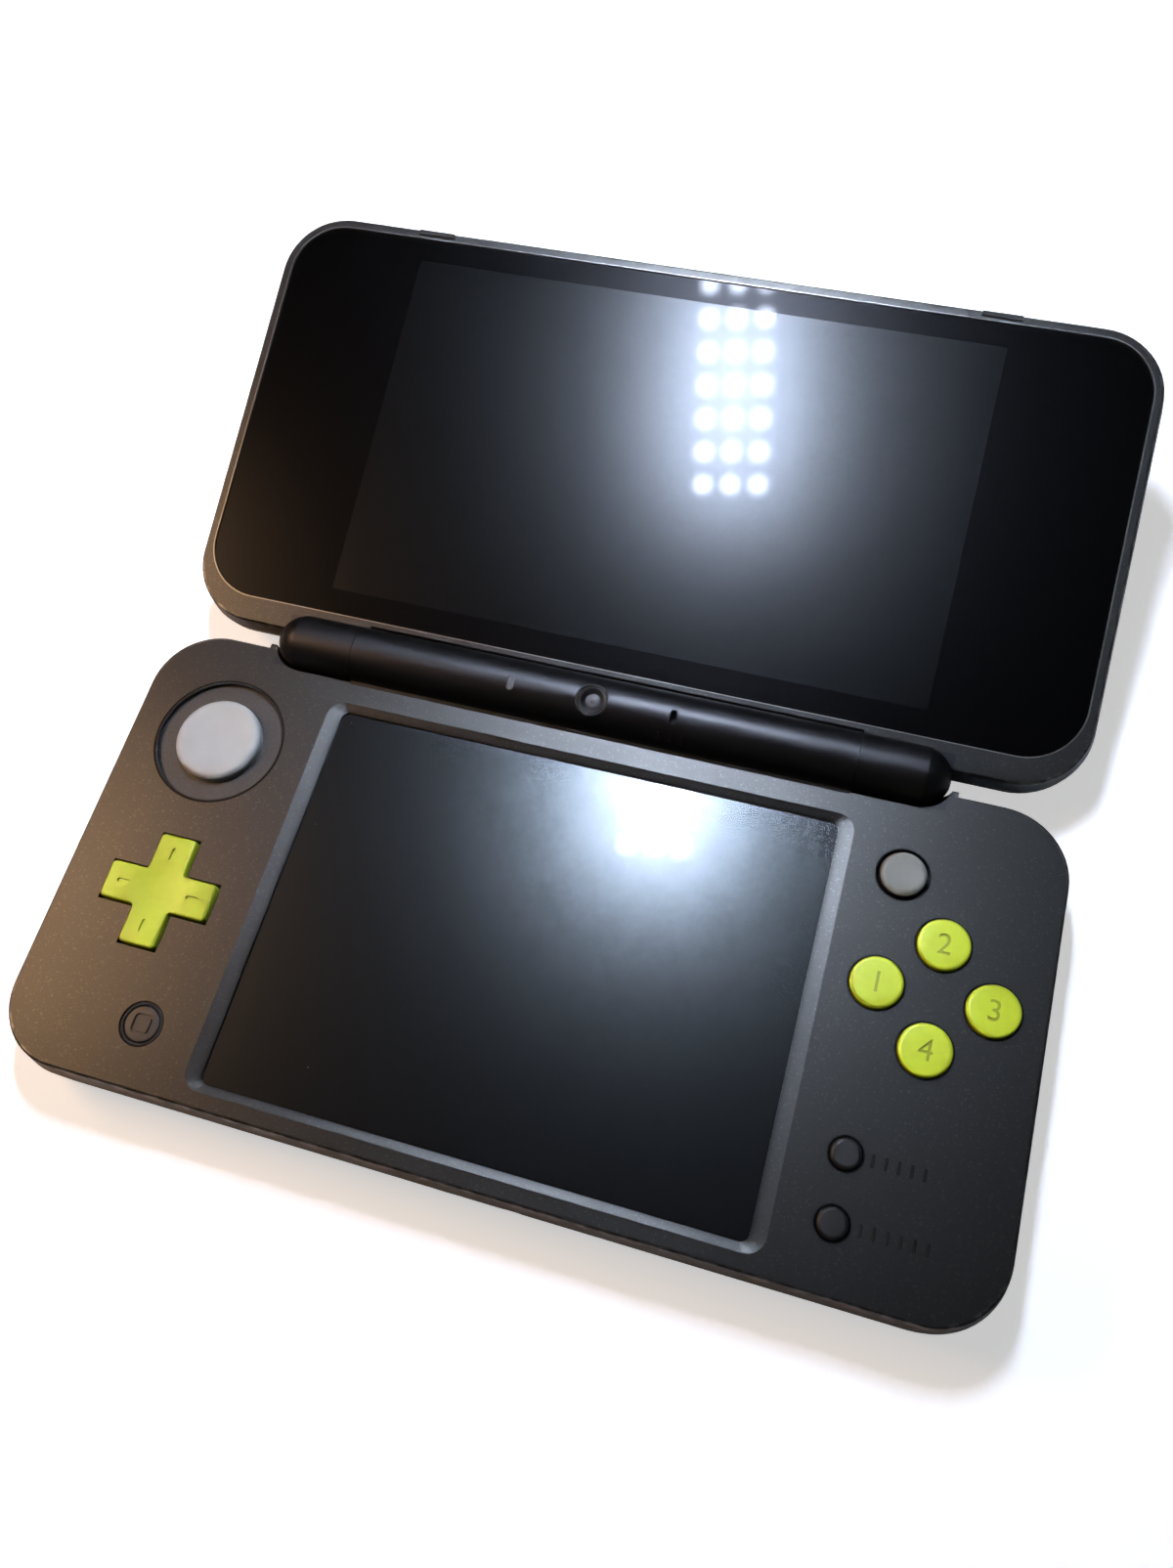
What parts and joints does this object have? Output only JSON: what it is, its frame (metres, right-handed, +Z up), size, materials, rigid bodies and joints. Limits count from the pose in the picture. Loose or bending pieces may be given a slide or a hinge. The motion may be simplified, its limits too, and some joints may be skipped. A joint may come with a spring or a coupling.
{
  "type": "clamshell handheld game console",
  "caption": "Handheld game console that folds on a barrel hinge, with a lid screen above and a touch screen between a circle pad, a direction pad and round buttons below.",
  "frame": {"origin": "middle of the flat underside of the lower case, on the surface that it rests on", "axes": "+X to the player's right along the hinge, +Y from the front edge towards the hinge, +Z up out of the control face"},
  "size_m": [0.16, 0.1616, 0.033],
  "materials": {
    "charcoal_shell": "satin moulded, fine sparkle",
    "black_shell": "satin moulded",
    "screen_glass": "glossy, near black",
    "display": "satin, dark",
    "lime_key": "satin gloss",
    "pale_key": "satin",
    "grey_nub": "matt rubbery",
    "dark_key": "satin",
    "metal": "plain sheet and turned steel",
    "board": "solder mask",
    "battery_case": "satin",
    "silicone": "matt silicone",
    "black_rubber": "matt",
    "lens": "glossy lens",
    "light_lens": "clear frosted",
    "ir_plastic": "dark red, glossy",
    "flex": "flexible circuit"
  },
  "bodies": {
    "lower_case": {"back_cover": "black_shell", "top_frame": "charcoal_shell", "touch_glass": "screen_glass", "lower_display": "display", "circuit_board": "board", "battery": "battery_case", "card_slot": "metal", "memory_card_socket": "metal", "wireless_module": "metal", "pad_housing": "dark_key", "nub_sensor": "metal", "right_button_mat": "silicone", "left_button_mat": "silicone", "small_button_mat": "silicone", "power_light": "light_lens", "audio_jack": "dark_key", "stylus_holder": "dark_key", "charging_port": "metal", "infrared_window": "ir_plastic", "outer_cameras": "lens", "left_speaker": "dark_key", "right_speaker": "dark_key", "back_screws": "metal", "inner_camera": "lens", "status_light": "light_lens", "microphone": "metal"},
    "lid": {"lid_inner_frame": "charcoal_shell", "lid_outer_shell": "black_shell", "lid_glass": "screen_glass", "upper_display": "display", "lid_bumpers": "black_rubber", "lid_magnet": "metal", "lid_screws": "metal", "friction_hinge_shaft": "metal", "hinge_cable_sleeve": "metal", "display_cable": "flex"},
    "pad_carriage": {"pad_carriage": "dark_key"},
    "circle_pad": {"circle_pad": "pale_key"},
    "direction_pad_pivot": {"direction_pad_pivot": "dark_key"},
    "direction_pad": {"direction_pad": "lime_key"},
    "nub_yoke": {"nub_yoke": "dark_key"},
    "small_stick": {"small_stick": "grey_nub"},
    "face_button_rear": {"face_button_rear": "lime_key"},
    "face_button_left": {"face_button_left": "lime_key"},
    "face_button_right": {"face_button_right": "lime_key"},
    "face_button_front": {"face_button_front": "lime_key"},
    "rear_small_button": {"rear_small_button": "dark_key"},
    "front_small_button": {"front_small_button": "dark_key"},
    "home_button": {"home_button": "dark_key"},
    "left_shoulder_button": {"left_shoulder_button": "dark_key"},
    "right_shoulder_button": {"right_shoulder_button": "dark_key"},
    "left_trigger": {"left_trigger": "dark_key"},
    "right_trigger": {"right_trigger": "dark_key"},
    "volume_slider": {"volume_slider": "dark_key"},
    "power_button": {"power_button": "dark_key"},
    "card_door": {"card_door": "black_shell"},
    "stylus": {"stylus": "dark_key"}
  },
  "joints": [
    {"name": "lid_hinge", "type": "hinge", "parent": "lower_case", "child": "lid", "pos_m": [0, 0.0414, 0.0124], "axis": [1, 0, 0], "range_deg": [0, 164.55]},
    {"name": "pad_sideways", "type": "slide", "parent": "lower_case", "child": "pad_carriage", "axis": [1, 0, 0], "range_m": [-0.0022, 0.0022], "stiffness_N_per_m": 60},
    {"name": "pad_forward", "type": "slide", "parent": "pad_carriage", "child": "circle_pad", "axis": [0, 1, 0], "range_m": [-0.0022, 0.0022], "stiffness_N_per_m": 60},
    {"name": "cross_tip_forward", "type": "hinge", "parent": "lower_case", "child": "direction_pad_pivot", "pos_m": [-0.0618, -0.0081, 0.0089], "axis": [1, 0, 0], "range_deg": [-3, 3], "stiffness_Nm_per_rad": 0.05},
    {"name": "cross_tip_sideways", "type": "hinge", "parent": "direction_pad_pivot", "child": "direction_pad", "pos_m": [-0.0618, -0.0081, 0.0089], "axis": [0, 1, 0], "range_deg": [-3, 3], "stiffness_Nm_per_rad": 0.05},
    {"name": "stick_tip_forward", "type": "hinge", "parent": "lower_case", "child": "nub_yoke", "pos_m": [0.0545, 0.02415, 0.0089], "axis": [1, 0, 0], "range_deg": [-3, 3], "stiffness_Nm_per_rad": 0.05},
    {"name": "stick_tip_sideways", "type": "hinge", "parent": "nub_yoke", "child": "small_stick", "pos_m": [0.0545, 0.02415, 0.0089], "axis": [0, 1, 0], "range_deg": [-3, 3], "stiffness_Nm_per_rad": 0.05},
    {"name": "face_button_rear_press", "type": "slide", "parent": "lower_case", "child": "face_button_rear", "axis": [0, 0, -1], "range_m": [0, 0.0009], "stiffness_N_per_m": 600, "springref_m": -0.0004},
    {"name": "face_button_left_press", "type": "slide", "parent": "lower_case", "child": "face_button_left", "axis": [0, 0, -1], "range_m": [0, 0.0009], "stiffness_N_per_m": 600, "springref_m": -0.0004},
    {"name": "face_button_right_press", "type": "slide", "parent": "lower_case", "child": "face_button_right", "axis": [0, 0, -1], "range_m": [0, 0.0009], "stiffness_N_per_m": 600, "springref_m": -0.0004},
    {"name": "face_button_front_press", "type": "slide", "parent": "lower_case", "child": "face_button_front", "axis": [0, 0, -1], "range_m": [0, 0.0009], "stiffness_N_per_m": 600, "springref_m": -0.0004},
    {"name": "rear_small_button_press", "type": "slide", "parent": "lower_case", "child": "rear_small_button", "axis": [0, 0, -1], "range_m": [0, 0.0009], "stiffness_N_per_m": 600, "springref_m": -0.0004},
    {"name": "front_small_button_press", "type": "slide", "parent": "lower_case", "child": "front_small_button", "axis": [0, 0, -1], "range_m": [0, 0.0009], "stiffness_N_per_m": 600, "springref_m": -0.0004},
    {"name": "home_button_press", "type": "slide", "parent": "lower_case", "child": "home_button", "axis": [0, 0, -1], "range_m": [0, 0.0006], "stiffness_N_per_m": 600, "springref_m": -0.0004},
    {"name": "left_shoulder_press", "type": "hinge", "parent": "lower_case", "child": "left_shoulder_button", "pos_m": [-0.0628, 0.0364, 0.0055], "axis": [0, 0, 1], "range_deg": [0, 2.2], "stiffness_Nm_per_rad": 0.3, "springref_deg": -1.15},
    {"name": "right_shoulder_press", "type": "hinge", "parent": "lower_case", "child": "right_shoulder_button", "pos_m": [0.0628, 0.0364, 0.0055], "axis": [0, 0, -1], "range_deg": [0, 2.2], "stiffness_Nm_per_rad": 0.3, "springref_deg": -1.15},
    {"name": "left_trigger_press", "type": "slide", "parent": "lower_case", "child": "left_trigger", "axis": [0, -1, 0], "range_m": [0, 0.0007], "stiffness_N_per_m": 600, "springref_m": -0.0004},
    {"name": "right_trigger_press", "type": "slide", "parent": "lower_case", "child": "right_trigger", "axis": [0, -1, 0], "range_m": [0, 0.0007], "stiffness_N_per_m": 600, "springref_m": -0.0004},
    {"name": "volume_slide", "type": "slide", "parent": "lower_case", "child": "volume_slider", "axis": [0, 1, 0], "range_m": [-0.0035, 0.0035]},
    {"name": "power_press", "type": "slide", "parent": "lower_case", "child": "power_button", "axis": [0, 1, 0], "range_m": [0, 0.0005], "stiffness_N_per_m": 600, "springref_m": -0.0004},
    {"name": "card_door_swing", "type": "hinge", "parent": "lower_case", "child": "card_door", "pos_m": [-0.03, -0.0392, 0.0028], "axis": [1, 0, 0], "range_deg": [0, 80]},
    {"name": "stylus_pull", "type": "slide", "parent": "lower_case", "child": "stylus", "axis": [0, -1, 0], "range_m": [0, 0.06]}
  ]
}
